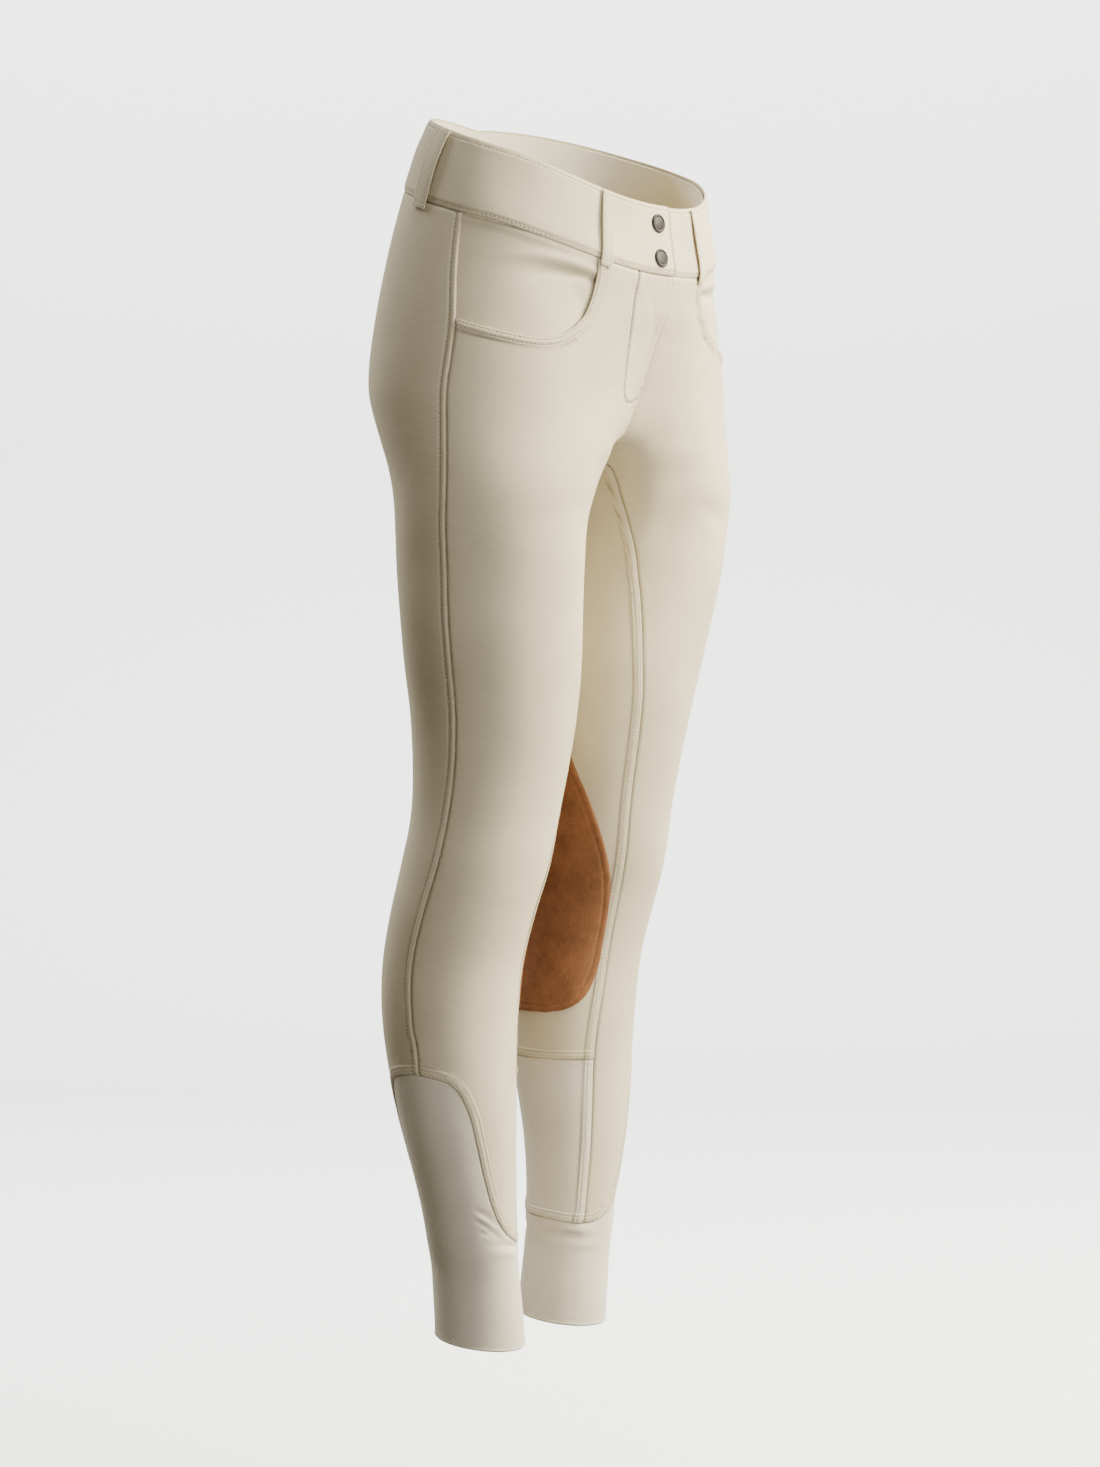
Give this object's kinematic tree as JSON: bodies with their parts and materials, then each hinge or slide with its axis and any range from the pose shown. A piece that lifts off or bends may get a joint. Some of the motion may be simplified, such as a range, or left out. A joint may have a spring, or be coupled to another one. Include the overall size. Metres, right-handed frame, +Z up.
{
  "type": "riding breeches",
  "caption": "Fitted riding breeches in worn shape: contoured waistband with snaps and belt loops, curved pockets, suede inner-knee patches and stretch sock cuffs.",
  "frame": {"origin": "middle of the waistband ring, at the band's mid height at the sides, where the garment is held", "axes": "+Z up, -Y to the garment's front, +X to the wearer's left"},
  "size_m": [0.3444, 0.2502, 0.9846],
  "materials": {
    "breech_cloth": "matte stretch twill",
    "facing_cloth": "matte woven facing",
    "stretch_cloth": "matte stretch knit",
    "suede": "napped suede",
    "dark_metal": "dark antique plating"
  },
  "bodies": {
    "root": {"front_right": "breech_cloth", "front_left": "breech_cloth", "back_right": "breech_cloth", "back_left": "breech_cloth", "pocket_bearer_right": "breech_cloth", "pocket_bearer_left": "breech_cloth", "waistband": "breech_cloth", "waistband_facing": "facing_cloth", "belt_loop_front_right": "breech_cloth", "belt_loop_front_left": "breech_cloth", "belt_loop_side_right": "breech_cloth", "belt_loop_side_left": "breech_cloth", "belt_loop_back_right": "breech_cloth", "belt_loop_back_left": "breech_cloth", "snap_cap_upper": "dark_metal", "snap_cap_lower": "dark_metal", "knee_patch_right": "suede", "knee_patch_left": "suede", "calf_panel_right": "stretch_cloth", "calf_panel_left": "stretch_cloth", "sock_right": "stretch_cloth", "sock_left": "stretch_cloth"}
  },
  "joints": []
}
